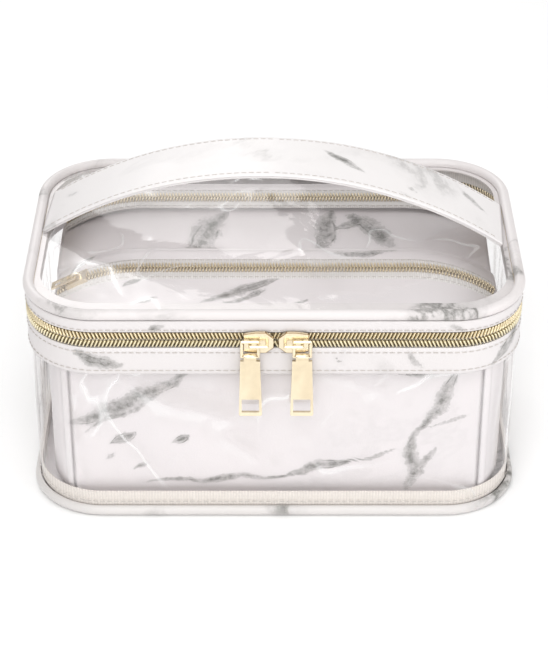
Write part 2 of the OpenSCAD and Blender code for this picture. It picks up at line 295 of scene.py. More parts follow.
def marble(name, base=(0.90, 0.865, 0.875), guided=False, veins=1.0, scale=1.0, shift=(0, 0, 0),
           roughness=0.36):
    """Marble-print grained PU: clouded near-white, soft grey patches and broken dark veins.
    guided adds the veins that a piece carries in its "vein" attribute."""
    m, tree, shader = new_material(name, base, roughness)
    place = tree.nodes.new("ShaderNodeMapping")
    place.inputs["Location"].default_value = shift
    tree.links.new(coordinates(tree), place.inputs["Vector"])
    where = place.outputs["Vector"]
    cloud = ramp(tree, noise_at(tree, 13 * scale, 3, where=where), (0.42, 0), (0.72, 1))
    colour = mix(tree, maths(tree, "MULTIPLY", cloud, 0.22), base, (0.70, 0.68, 0.70))
    # Veins: the narrow band where a distorted noise passes its middle value, kept only in some places.
    field = noise_at(tree, 7.5 * scale, 9, 0.60, 0.9, where)
    middle = maths(tree, "ABSOLUTE", maths(tree, "SUBTRACT", field, 0.5))
    line = ramp(tree, middle, (0.0, 1), (0.010, 0.75), (0.035, 0.0))
    haze = ramp(tree, middle, (0.0, 0.55), (0.09, 0.0))
    region = ramp(tree, noise_at(tree, 11 * scale, 2, where=where), (0.54, 0), (0.63, 1))
    fleck = ramp(tree, noise_at(tree, 200, 5, 0.75, where=where), (0.38, 0.55), (0.56, 1))
    mark = maths(tree, "MULTIPLY", maths(tree, "MAXIMUM", line, maths(tree, "MULTIPLY", haze, 0.5)), region)
    mark = maths(tree, "MULTIPLY", mark, 0.85 * veins)
    if guided:
        own = add(tree, "ShaderNodeAttribute", attribute_name="vein")
        torn = maths(tree, "SUBTRACT", noise_at(tree, 85, 9, 0.78, 0.5, where), 0.5)
        soft = maths(tree, "SUBTRACT", noise_at(tree, 30, 3, 0.5, where=where), 0.5)
        speck = maths(tree, "SUBTRACT", noise_at(tree, 330, 4, 0.7, where=where), 0.5)
        edge = maths(tree, "ADD", own.outputs["Fac"], maths(tree, "MULTIPLY", torn, 1.6))
        edge = maths(tree, "ADD", edge, maths(tree, "MULTIPLY", speck, 0.5))
        body = ramp(tree, edge, (0.35, 0.0), (0.39, 0.24), (0.55, 0.38), (0.74, 0.62), (0.95, 0.92))
        # A dark thread wanders along the vein, and a faint haze lies round it.
        wander = maths(tree, "ADD", own.outputs["Fac"], maths(tree, "MULTIPLY", soft, 1.1))
        off = maths(tree, "ABSOLUTE", maths(tree, "SUBTRACT", wander, 0.62))
        dark = ramp(tree, off, (0.0, 1.0), (0.035, 0.85), (0.09, 0.0))
        gaps = ramp(tree, noise_at(tree, 55, 3, where=where), (0.42, 0.1), (0.58, 1.0))
        dark = maths(tree, "MULTIPLY", dark, gaps)
        fog = maths(tree, "MULTIPLY", own.outputs["Fac"], 0.13)
        drawn = maths(tree, "MAXIMUM", maths(tree, "MAXIMUM", body, dark), fog)
        drawn = maths(tree, "MULTIPLY", drawn, ramp(tree, own.outputs["Fac"], (0.0, 0), (0.16, 1)))
        mark = maths(tree, "MAXIMUM", mark, drawn)
    mark = maths(tree, "MULTIPLY", maths(tree, "POWER", mark, 0.8), fleck, clamp=True)
    colour = mix(tree, mark, colour, (0.13, 0.128, 0.115))
    tree.links.new(colour, shader.inputs["Base Color"])
    rough = ramp(tree, noise_at(tree, 60, 3), (0.3, roughness - 0.07), (0.7, roughness + 0.08))
    tree.links.new(rough, shader.inputs["Roughness"])
    grain = add(tree, "ShaderNodeTexVoronoi", feature="SMOOTH_F1")
    grain.inputs["Scale"].default_value = 1300
    tree.links.new(coordinates(tree), grain.inputs["Vector"])
    lumps = bump(tree, shader, noise_at(tree, 230, 3), 0.25, 0.0004)
    bump(tree, shader, grain.outputs["Distance"], 0.22, 0.0002, lumps)
    return m


def film(name, tint=(0.90, 0.88, 0.875)):
    """Clear vinyl: its alpha is what it mirrors, from about 6% face on to most at a glancing angle, the same
    from both sides. The "glare" attribute is painted light: above 0 it paints a highlight on a crease and
    below 0 it paints shade."""
    m, tree, shader = new_material(name, tint, 0.05, 1.0)
    facing = add(tree, "ShaderNodeLayerWeight")
    facing.inputs["Blend"].default_value = 0.5
    steep = maths(tree, "MULTIPLY", maths(tree, "POWER", facing.outputs["Facing"], 4.5), 0.75)
    smear = ramp(tree, noise_at(tree, 22, 4, 0.6, 0.4), (0.35, 0.045), (0.75, 0.085))
    glare = add(tree, "ShaderNodeAttribute", attribute_name="glare").outputs["Fac"]
    cover = maths(tree, "ADD", steep, smear, clamp=True)
    marked = maths(tree, "MULTIPLY", maths(tree, "ABSOLUTE", glare), 0.55)
    cover = maths(tree, "ADD", cover, marked, clamp=True)
    # Painted highlights: fine bright lines in patches, as light caught on folds of the sheet.
    painted_fold_highlight = maths(tree, "ABSOLUTE", maths(tree, "SUBTRACT", noise_at(tree, 15, 1.5, 0.5, 1.6), 0.5))
    painted_fold_highlight = ramp(tree, painted_fold_highlight, (0.0, 1.0), (0.006, 0.75), (0.016, 0.22), (0.05, 0.0))
    painted_fold_highlight = maths(tree, "MULTIPLY", painted_fold_highlight, ramp(tree, noise_at(tree, 24, 2), (0.48, 0.0), (0.60, 0.75)))
    glare = maths(tree, "ADD", glare, painted_fold_highlight)
    cover = maths(tree, "ADD", cover, maths(tree, "MULTIPLY", painted_fold_highlight, 0.5), clamp=True)
    # Painted light in the colour: white on the painted highlights and dark brown on the painted shade.
    shade = ramp(tree, maths(tree, "ADD", maths(tree, "MULTIPLY", glare, 0.5), 0.5),
                 (0.2, (0.42, 0.37, 0.34)), (0.48, tint), (0.52, tint), (0.7, (1.0, 1.0, 1.0)))
    tree.links.new(shade, shader.inputs["Base Color"])
    # Where painted light lies, the sheet is less metallic, so the painted colour shows.
    matt = maths(tree, "MULTIPLY", maths(tree, "ABSOLUTE", glare), 0.8)
    tree.links.new(maths(tree, "SUBTRACT", 1.0, matt, clamp=True), shader.inputs["Metallic"])
    tree.links.new(cover, shader.inputs["Alpha"])
    rough = ramp(tree, noise_at(tree, 35, 3), (0.35, 0.035), (0.7, 0.10))
    tree.links.new(rough, shader.inputs["Roughness"])
    bump(tree, shader, noise_at(tree, 26, 3, 0.55, 0.6), 0.35, 0.0016)
    return m


def gold(name, colour=(0.90, 0.70, 0.46), roughness=0.2, wear=0.12, metallic=1.0):
    """Polished pale-gold plating with faint rubbing, fine scratches and painted shade on its convex edges."""
    m, tree, shader = new_material(name, colour, roughness, metallic)
    tone = ramp(tree, noise_at(tree, 260, 4, 0.6), (0.3, tuple(c * 0.90 for c in colour)), (0.7, colour))
    # Painted shade: convex edges, found by pointiness, are mixed towards brown, standing in for the dark
    # reflections along polished edges.
    corner = add(tree, "ShaderNodeNewGeometry")
    edge = ramp(tree, corner.outputs["Pointiness"], (0.50, 0.0), (0.56, 1.0))
    painted_edge_shade = tuple(c * k for c, k in zip(colour, (0.55, 0.40, 0.28)))
    tone = mix(tree, maths(tree, "MULTIPLY", edge, 0.28), tone, painted_edge_shade)
    tree.links.new(tone, shader.inputs["Base Color"])
    rub = ramp(tree, noise_at(tree, 480, 5, 0.7), (0.35, roughness), (0.75, roughness + wear))
    tree.links.new(rub, shader.inputs["Roughness"])
    scratch = add(tree, "ShaderNodeTexWave", wave_type="BANDS", bands_direction="DIAGONAL")
    scratch.inputs["Scale"].default_value = 900
    scratch.inputs["Distortion"].default_value = 12
    scratch.inputs["Detail"].default_value = 3
    tree.links.new(coordinates(tree), scratch.inputs["Vector"])
    bump(tree, shader, scratch.outputs["Fac"], 0.05, 0.0001)
    return m


def woven(name, colour, scale=1400, strength=0.5):
    """Ribbed woven tape: fine warp and weft as two crossed waves."""
    m, tree, shader = new_material(name, colour, 0.82)
    weft = add(tree, "ShaderNodeTexWave", wave_type="BANDS", bands_direction="Z")
    weft.inputs["Scale"].default_value = scale / 3
    warp = add(tree, "ShaderNodeTexWave", wave_type="BANDS", bands_direction="X")
    warp.inputs["Scale"].default_value = scale / 5
    for w in (weft, warp):
        w.inputs["Distortion"].default_value = 0.6
        w.inputs["Detail"].default_value = 1
        tree.links.new(coordinates(tree), w.inputs["Vector"])
    rib = maths(tree, "MULTIPLY", weft.outputs["Fac"], warp.outputs["Fac"])
    shade = ramp(tree, rib, (0.0, tuple(c * 0.82 for c in colour)), (0.5, colour))
    patches = ramp(tree, noise_at(tree, 40, 3), (0.4, 0), (0.7, 0.2))
    shade = mix(tree, patches, shade, tuple(c * 0.9 for c in colour))
    tree.links.new(shade, shader.inputs["Base Color"])
    bump(tree, shader, rib, strength, 0.0003)
    shader.inputs["Sheen Weight"].default_value = 0.15
    return m


def thread(name, colour=(0.86, 0.83, 0.80)):
    m, tree, shader = new_material(name, colour, 0.6)
    twist = add(tree, "ShaderNodeTexWave", wave_type="BANDS", bands_direction="DIAGONAL")
    twist.inputs["Scale"].default_value = 900
    tree.links.new(coordinates(tree), twist.inputs["Vector"])
    tree.links.new(ramp(tree, twist.outputs["Fac"], (0, tuple(c * 0.8 for c in colour)), (0.6, colour)),
                   shader.inputs["Base Color"])
    bump(tree, shader, twist.outputs["Fac"], 0.4, 0.0001)
    return m


# One marble PU in several base tones set by how much light falls on each piece: the outside trims, welts and
# bands are shaded copies, darkened because the lamps light them fully, and the pouches under the clear sheet
# are a lit copy, made lighter.
OUTSIDE_SHADED_TONE = (0.70, 0.664, 0.658)
MARBLE = marble("marble_pu")
MARBLE_BASE = marble("marble_pu_base", base=(0.66, 0.635, 0.62), scale=1.0, shift=(0.0, 0.0, 0.0), veins=1.2)
MARBLE_TRIM = marble("marble_pu_trim", base=OUTSIDE_SHADED_TONE, scale=1.5, shift=(0.31, 0.12, 0.05))
MARBLE_BAND = marble("marble_pu_band", base=(0.70, 0.668, 0.665), guided=True, veins=0.3, scale=1.2)
MARBLE_DRAWN = marble("marble_pu_drawn", base=(0.765, 0.725, 0.732), guided=True, veins=0.06)
MARBLE_STRAP = marble("marble_pu_strap", base=(0.80, 0.775, 0.77), guided=True, veins=0.35, scale=1.3,
                      shift=(0.7, 0.3, 0.2))
FILM = film("clear_vinyl")
GOLD = gold("pale_gold", (0.97, 0.87, 0.65), 0.22, wear=0.05, metallic=0.8)
# Dark brown gold for the bevels of the sliders, pulls and stops: painted shade standing in for the dark
# reflections along their edges.
GOLD_PAINTED_EDGE_SHADE = gold("gold_painted_edge_shade", (0.36, 0.23, 0.11), 0.35)
GOLD_TEETH = gold("gold_teeth", (0.94, 0.85, 0.60), 0.24, metallic=0.8)
GOLD_SMALL = gold("gold_coil", (0.90, 0.82, 0.62), 0.3, metallic=0.75)
# Dark bronze for the strip behind the main zip's teeth: partly the chain's own dark core, partly painted
# shade for the dark gaps between the teeth.
CORE_AND_GAP_SHADE = gold("chain_core_and_gap_shade", (0.15, 0.115, 0.065), 0.5)
TAPE = woven("zip_tape", (0.80, 0.77, 0.75))
RIBBON = woven("seam_ribbon", (0.88, 0.82, 0.765), 1100, 0.8)
THREAD = thread("thread", (0.60, 0.56, 0.525))
BOARD = marble("board_cover", scale=1.2, shift=(0.5, 0.5, 0.1))


# ---------------------------------------------------------------- camera, floor and light

camera = bpy.data.objects.new("camera", bpy.data.cameras.new("camera"))
scene.collection.objects.link(camera)
camera.location = (0.0, -0.8891, 0.6304)
camera.rotation_euler = (math.radians(57.35), 0, 0)
camera.data.lens = 113.5
camera.data.sensor_width = 36
camera.data.clip_start = 0.05
scene.camera = camera
scene.view_settings.view_transform = "Standard"

FLOOR_CORNERS = [(-3000, -2500, 0), (3000, -2500, 0), (3000, 3500, 0), (-3000, 3500, 0)]
floor = mesh("floor", FLOOR_CORNERS, [(0, 1, 2, 3)],
             new_material("floor", (0.96, 0.96, 0.96), 0.85)[0])

world = bpy.data.worlds.new("studio")
scene.world = world
world.use_nodes = True
world.node_tree.nodes["Background"].inputs["Color"].default_value = (1.0, 0.995, 0.99, 1)
world.node_tree.nodes["Background"].inputs["Strength"].default_value = 0.60


def softbox(name, place, target, size, watts, height=None):
    """A rectangular soft light at place, in metres, turned towards target."""
    light = bpy.data.lights.new(name, "AREA")
    light.shape = "RECTANGLE"
    light.size = size
    light.size_y = height or size
    light.energy = watts
    obj = bpy.data.objects.new(name, light)
    scene.collection.objects.link(obj)
    obj.location = place
    obj.rotation_euler = (Vector(target) - Vector(place)).to_track_quat("-Z", "Y").to_euler()
    return obj


softbox("key", (-0.15, -0.95, 1.15), (0, 0, 0.05), 0.85, 8)
softbox("top", (0.02, -0.08, 1.5), (0, 0.01, 0.1), 0.6, 3.2)
softbox("fill", (0.95, -0.55, 0.55), (0, 0, 0.06), 0.8, 3)
softbox("front", (0.1, -1.35, 0.22), (0, 0, 0.05), 0.9, 2.6, height=0.3)
softbox("back", (-0.3, 1.0, 0.8), (0, 0, 0.08), 0.7, 3)


# ---------------------------------------------------------------- marble veins drawn on a piece

def draw_veins(obj, *veins):
    """Stores how close each point of obj is to the drawn veins, 1 on a vein and 0 away from it.
    A vein is (width, [(x, y, z), ...]) in millimetres, and its width tapers at both ends."""
    co = np.array([v.co for v in obj.data.vertices], float) / MM
    value = np.zeros(len(co))
    for width, points in veins:
        points = np.asarray(points, float)
        count = len(points) - 1
        for i in range(count):
            a, b = points[i], points[i + 1]
            along = b - a
            t = np.clip((co - a) @ along / (along @ along), 0, 1)
            gap = np.linalg.norm(co - (a + t[:, None] * along), axis=1)
            taper = np.clip(1.25 - np.abs((i + t) / count * 2 - 1), 0.25, 1.0)
            value = np.maximum(value, np.clip(1 - gap / (width * 1.9 * taper), 0, 1))
    attribute = obj.data.attributes.new("vein", "FLOAT", "POINT")
    attribute.data.foreach_set("value", value.astype(np.float32))
    return obj


def wobble(p, size, seed=0.0):
    """Smooth noise from -1 to 1 at a point in millimetres, with features about size across."""
    return noise.noise(Vector((p[0] / size + seed, p[1] / size + 2.3 * seed, p[2] / size - seed)))


def vein(width, start, end, sway=3.0):
    """A vein that wanders from start to end by noise, within the flat face that holds both ends."""
    start, end = np.asarray(start, float), np.asarray(end, float)
    level = [i for i in range(3) if start[i] == end[i]] or [2]
    side = np.cross(end - start, np.eye(3)[level[0]])
    side /= np.linalg.norm(side)
    points = []
    for t in np.linspace(0, 1, 9):
        p = start + (end - start) * t
        points.append(p + side * sway * (wobble(p, 16, width) + 0.5 * wobble(p, 7, width)))
    return width, points


def flecks(seed, count, low, high, lean):
    """Short stray veins scattered in the box from low to high, all leaning about the way of lean."""
    draw = random.Random(seed)
    out = []
    for _ in range(count):
        start = np.array([draw.uniform(a, b) for a, b in zip(low, high)])
        width, stretch = draw.uniform(1.1, 2.2), draw.uniform(0.6, 1.4)
        out.append(vein(width, start, start + np.asarray(lean, float) * stretch, 1.5))
    return out


# ---------------------------------------------------------------- clear wall and lid window

# Soft creases on the front of the wall: (x, z) of both ends, half width, depth, in millimetres.
CREASES = [
    ((-78, 84), (-52, 66), 3.0, 0.9), ((-52, 66), (-26, 58), 4.0, 1.0), ((-26, 58), (4, 66), 5.0, 0.8),
    ((-70, 78), (-36, 74), 4.0, -0.6), ((28, 84), (54, 70), 4.0, 0.7), ((54, 70), (40, 62), 3.0, -0.5),
    ((-22, 44), (-4, 30), 3.5, 0.6), ((-4, 30), (12, 40), 3.0, -0.5), ((66, 88), (88, 84), 2.5, 0.8),
    ((18, 78), (10, 60), 5.0, -0.6), ((-104, 90), (-96, 20), 3.0, 0.7), ((104, 88), (98, 26), 3.0, 0.6),
]


def crease_depth(x, z):
    total = 0.0
    for (ax, az), (bx, bz), half, depth in CREASES:
        dx, dz = bx - ax, bz - az
        t = max(0.0, min(1.0, ((x - ax) * dx + (z - az) * dz) / (dx * dx + dz * dz)))
        gap2 = (x - ax - t * dx) ** 2 + (z - az - t * dz) ** 2
        total += depth * math.exp(-gap2 / (2 * half * half))
    return total


def crease_glare(x, y, z):
    """Painted light on a crease at a point of the wall: a painted highlight above 0 and painted shade below
    0.
    """
    fade = max(0.0, min(1.0, (z - 16) / 8, (WALL_TOP - 15 - z) / 6))
    # On the front: flanks that slope one way get a painted highlight, the others painted shade.
    if y < -70:
        lit = 5.0 * (crease_depth(x, z) - crease_depth(x - 1.2, z - 1.6))
        patch = 0.5 + 0.5 * wobble((x, z, 0), 9, 6.0)
        return max(-0.3, min(0.5, 0.55 * lit * patch)) * fade
    # On the sides: painted highlight lines on the wave crests and painted dark streaks in the troughs,
    # standing in for reflections.
    if abs(x) > 100:
        ridge = math.sin(y / 4.3 + 2.2 * wobble((y, z, x), 55, 4.4))
        return (0.8 * max(0.0, ridge - 0.80) * 5 - 0.55 * max(0.0, -ridge - 0.80) * 5) * fade * 0.9
    return 0.0


def clear_wall():
    """Vinyl sheet round the case, waved and creased between the base seam and the upper band."""
    rows, cols = 44, 520
    low, high = 1.3, WALL_TOP
    points = []
    for r in range(rows):
        z = low + (high - low) * r / (rows - 1)
        free = 0
        if 6 < z < WALL_TOP - 14:
            free = math.sin(math.pi * min(1, max(0, (z - 6) / (WALL_TOP - 14 - 6)))) ** 0.6
        for c in range(cols):
            s = ROUND * c / cols
            (x, y), (nx, ny) = on_wall(s)
            out = -0.4 + free * (0.45 * wobble((x, y, z * 0.6), 34, 3.1) + 0.15 * wobble((x, y, z), 11, 7.7))
            if abs(nx) > 0.9:
                out += free * 0.5 * math.sin(y / 7.0 + 2 * wobble((x, y, z), 60, 1.2))
            if ny < -0.5:
                out += free * crease_depth(x, z) * 0.55
            out = max(-1.6, min(0.9, out))
            points.append((x + out * nx, y + out * ny, z))
    wall = mesh("clear_wall_vinyl", points, grid_faces(rows, cols, wrap=True), FILM)
    # Painted light for the creases: highlights and shade stored in the "glare" attribute.
    glare = [crease_glare(*p) for p in points]
    wall.data.attributes.new("glare", "FLOAT", "POINT").data.foreach_set("value", glare)
    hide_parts("clear_wall")
    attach(wall, "case")


def lid_window():
    """Vinyl window of the lid: rings that shrink from the welt to the middle, with a soft wave."""
    rings, cols = 40, 300
    points = []
    for r in range(rings):
        share = 1 - r / rings
        for c in range(cols):
            (x, y), _ = on_wall(ROUND * c / cols, -2.2)
            x, y = x * share, y * share
            free = min(1.0, (1 - share) * 5)
            wave = 0.35 * wobble((x, y, 0), 42, 5.0) + 0.25 * wobble((x, y, 0), 16, 2.0)
            z = WINDOW_Z + 0.3 + free * wave
            points.append((x, y, max(z, WINDOW_Z - 0.3)))
    points.append((0, 0, WINDOW_Z + 0.3))
    centre = len(points) - 1
    last = (rings - 1) * cols
    faces = grid_faces(rings, cols, wrap=True)
    faces += [(last + c, last + (c + 1) % cols, centre) for c in range(cols)]
    window = mesh("lid_window_vinyl", points, faces, FILM)
    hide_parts("lid_window")
    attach(window, "lid")


clear_wall()
lid_window()


# ---------------------------------------------------------------- marbled bands, welts and hinge

def band(name, body, low, high, out, thick, node, *veins):
    """A soft PU band round the wall, with rounded edges and the drawn veins."""
    t, e = thick, min(0.35, thick / 2)
    rows = 8
    face = [(out + t + 0.12 * math.sin(math.pi * k / rows), low + e + (high - low - 2 * e) * k / rows)
            for k in range(rows + 1)]
    profile = [(out, low + e), (out + t * 0.6, low)] + face + [(out + t * 0.6, high), (out, high - e)]
    points, faces = ring(profile, 700)
    obj = mesh(name, points, faces, MARBLE_BAND)
    draw_veins(obj, *veins)
    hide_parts(node)
    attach(obj, body)
    return obj


band("upper_band_pu", "case", WALL_TOP - 14.8, WALL_TOP, 0.05, 0.85, "upper_band",
     vein(3.0, (-95, -75, 95), (-70, -75, 90)), vein(1.6, (60, -75, 98), (72, -75, 86)),
     vein(1.2, (28, -75, 97), (34, -75, 88)), vein(3.0, (116, -55, 100), (104, -70, 86)),
     vein(2.4, (40, 75, 86), (60, 75, 98)), vein(2.0, (-60, 75, 98), (-30, 75, 86)),
     vein(2.4, (-118, 20, 86), (-118, -5, 98)), vein(2.4, (118, 35, 98), (118, 10, 86)))
band("lid_band_pu", "lid", LID_BASE, 113.5, -0.4, 1.3, "lid_band",
     vein(1.6, (-60, -75, 108), (-50, -75, 112), 1), vein(1.4, (80, -75, 112), (90, -75, 108), 1),
     vein(2.0, (-118, 10, 108), (-118, 0, 112), 1), vein(2.0, (30, 75, 108), (45, 75, 112), 1))

for node in ("base_panel", "base_lining"):
    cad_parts[node].data.materials[0] = MARBLE
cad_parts["base_welt"].data.materials[0] = MARBLE_BASE
for node in ("lid_welt", "lid_border"):
    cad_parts[node].data.materials[0] = MARBLE_TRIM
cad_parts["base_board"].data.materials[0] = BOARD
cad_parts["seam_tape"].data.materials[0] = RIBBON
for node in ("lower_zip_tape", "upper_zip_tape"):
    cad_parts[node].data.materials[0] = TAPE


def soft_hinge():
    """One sewn PU strip across the back, between the case and the lid."""
    low, high, x1 = WALL_TOP - 10, SPLIT + 9.2, HINGE_W / 2
    cols, rows = 60, 26
    points = []
    for y0 in (76.2, 77.2):
        for r in range(rows):
            z = low + (high - low) * r / (rows - 1)
            for c in range(cols):
                x = -x1 + 2 * x1 * c / (cols - 1)
                soft = 0.12 * wobble((x, 0, z), 14, 4)
                points.append((x, y0 + (soft if y0 > 77 else 0), z))
    count = rows * cols
    faces = [f[::-1] for f in grid_faces(rows, cols)] + grid_faces(rows, cols, start=count)
    edge = list(range(cols)) + [r * cols + cols - 1 for r in range(1, rows)]
    edge += [(rows - 1) * cols + c for c in range(cols - 2, -1, -1)]
    edge += [r * cols for r in range(rows - 2, 0, -1)]
    faces += [(a, b, b + count, a + count) for a, b in zip(edge, edge[1:] + edge[:1])]
    shape = Shape()
    shape.add(points, faces)
    for z in (low + 2.2, high - 2.2):
        line = [(x, 77.3, z) for x in np.linspace(-x1 + 3, x1 - 3, 40)]
        stitch_line(shape, line, [(0, 1, 0)] * 40, slot=1)
    strip = shape.object("soft_hinge", MARBLE_TRIM, THREAD)
    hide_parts("hinge_strip", "hinge_flap")
    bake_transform(strip)


soft_hinge()


def seams():
    """Rows of stitches round the case and the lid, as pieces of their own on each body."""
    case, lid = Shape(), Shape()
    for z, out in ((WALL_TOP - 2.6, 1.05), (WALL_TOP - 12.6, 1.05), (8.2, 0.1)):
        stitch_line(case, *wall_line(z, out, 2, ROUND - 2))
    stitch_line(lid, *wall_line(LID_BASE + 1.5, 1.15, 2, ROUND - 2))
    for shape, name, body in ((case, "case_stitches", "case"), (lid, "lid_stitches", "lid")):
        obj = shape.object(name, THREAD)
        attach(obj, body)


seams()


# ---------------------------------------------------------------- main zip

def tooth(shape, centre, along, out, height, up, slant, slot=0):
    """One zip tooth: a rounded bar standing along up, leaning by slant in the plane of the wall."""
    centre, along, out, up = (np.asarray(v, float) for v in (centre, along, out, up))
    points = []
    for t, w, d in ((-0.5, 0.36, 0.75), (-0.38, 0.56, 1.15), (0.30, 0.60, 1.35), (0.44, 0.66, 1.30),
                    (0.5, 0.42, 0.9)):
        middle = centre + up * t * height + along * slant * t * height
        for k in range(8):
            a = 2 * math.pi * (k + 0.5) / 8
            points.append(middle + along * w * math.cos(a) + out * d * math.sin(a))
    ends = [tuple(range(8))[::-1], tuple(32 + k for k in range(8))]
    shape.add(points, grid_faces(5, 8, wrap=True) + ends, slot)


ZIP_START, ZIP_END = HINGE_W / 2 + 2, ROUND - HINGE_W / 2 - 2
PITCH = 1.8


def main_chain(name, body, node, side):
    """Half of the main zip: side is -1 for the case's half and 1 for the lid's."""
    shape = Shape()
    middle = SPLIT + side * 2.2
    for s in np.arange(ZIP_START + 1, ZIP_END - 1, PITCH):
        s = s + (PITCH / 2 if side > 0 else 0)
        (x, y), (nx, ny) = on_wall(s)
        way = 1 if s > ROUND / 2 else -1
        tooth(shape, (x, y, middle), (-ny, nx, 0), (nx, ny, 0), 3.5, (0, 0, -side), -way * 0.42)
    # The strip behind the teeth: partly the chain's core, partly painted shade showing between the teeth.
    z0, z1 = sorted((SPLIT + side * 0.9, SPLIT + side * 3.6))
    points, faces = ring([(-0.7, z0), (0.25, z0), (0.25, z1), (-0.7, z1)], 260, ZIP_START, ZIP_END)
    shape.add(points, faces, 1)
    obj = shape.object(name, GOLD_TEETH, CORE_AND_GAP_SHADE)
    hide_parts(node)
    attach(obj, body)


main_chain("case_zip_teeth", "case", "lower_zip_chain", -1)
main_chain("lid_zip_teeth", "lid", "upper_zip_chain", 1)

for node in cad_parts:
    if node.startswith(("slider", "pull", "zip_stop")):
        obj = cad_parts[node]
        obj.data.materials[0] = GOLD
        obj.modifiers.new("join", "WELD").merge_threshold = 0.00001
        edge = obj.modifiers.new("edge", "BEVEL")
        edge.width = 0.0003
        # The bevel faces get the dark gold: painted edge shade.
        obj.data.materials.append(GOLD_PAINTED_EDGE_SHADE)
        edge.material = 1
        edge.segments = 2
        edge.limit_method = "ANGLE"
    if node.endswith(("pouch_slider", "pouch_pull")):
        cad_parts[node].data.materials[0] = GOLD


# ---------------------------------------------------------------- pouches

def pouch_outline(spec, count=340):
    """The pouch seen from the front: points (x, z) round it, evenly spaced, from the middle of the bottom."""
    top, floor_z, foot = spec["top"], POUCH_FLOOR, 9.0
    shoulder = math.degrees(math.asin((POUCH_HALF - ARC_DX) / ARC_R))
    right = [(0.0, floor_z), (POUCH_HALF - foot, floor_z)]
    right += [(POUCH_HALF - foot + foot * math.sin(a), floor_z + foot - foot * math.cos(a))
              for a in np.linspace(0.2, math.pi / 2, 6)]
    right += [(POUCH_HALF, z) for z in np.linspace(floor_z + 16, top - ARC_R + 44, 8)]
    right += [(ARC_DX + ARC_R * math.sin(math.radians(a)), top - ARC_R + ARC_R * math.cos(math.radians(a)))
              for a in np.linspace(shoulder, 0, 14)]
    right += [(x, top) for x in np.linspace(ARC_DX - 8, 0, 8)]
    loop = right + [(-x, z) for x, z in right[-2:0:-1]]
    for _ in range(2):  # round the shoulders by cutting corners
        loop = [tuple(np.array(p) * (1 - t) + np.array(q) * t)
                for p, q in zip(loop, loop[1:] + loop[:1]) for t in (0.25, 0.75)]
    loop = np.array(loop + loop[:1])
    run = np.concatenate([[0], np.cumsum(np.linalg.norm(np.diff(loop, axis=0), axis=1))])
    at = np.linspace(0, run[-1], count, endpoint=False)
    points = np.stack([np.interp(at, run, loop[:, k]) for k in (0, 1)], axis=1)
    return points


def pouch_width(y):
    """Half the pouch's width at y: it narrows where the case's corners turn in."""
    t = max(0.0, min(1.0, (68.0 - abs(y)) / 22.0))
    return 101.5 + (POUCH_HALF - 101.5) * math.sin(t * math.pi / 2)


def lean(spec, x, y, z):
    """How far the rear pouch's slack top drops in front of its zip."""
    if not spec.get("slack") or y > spec["zip_y"]:
        return 0.0
    t = (spec["zip_y"] - y) / (spec["zip_y"] - spec["front"])
    high = max(0.0, min(1.0, (z - 66) / 30))
    ends = 1 - max(0.0, (abs(x) - 70) / 40) ** 2 * 0.7
    return -spec["slack"] * (t ** 0.9) * high * max(0.2, ends)


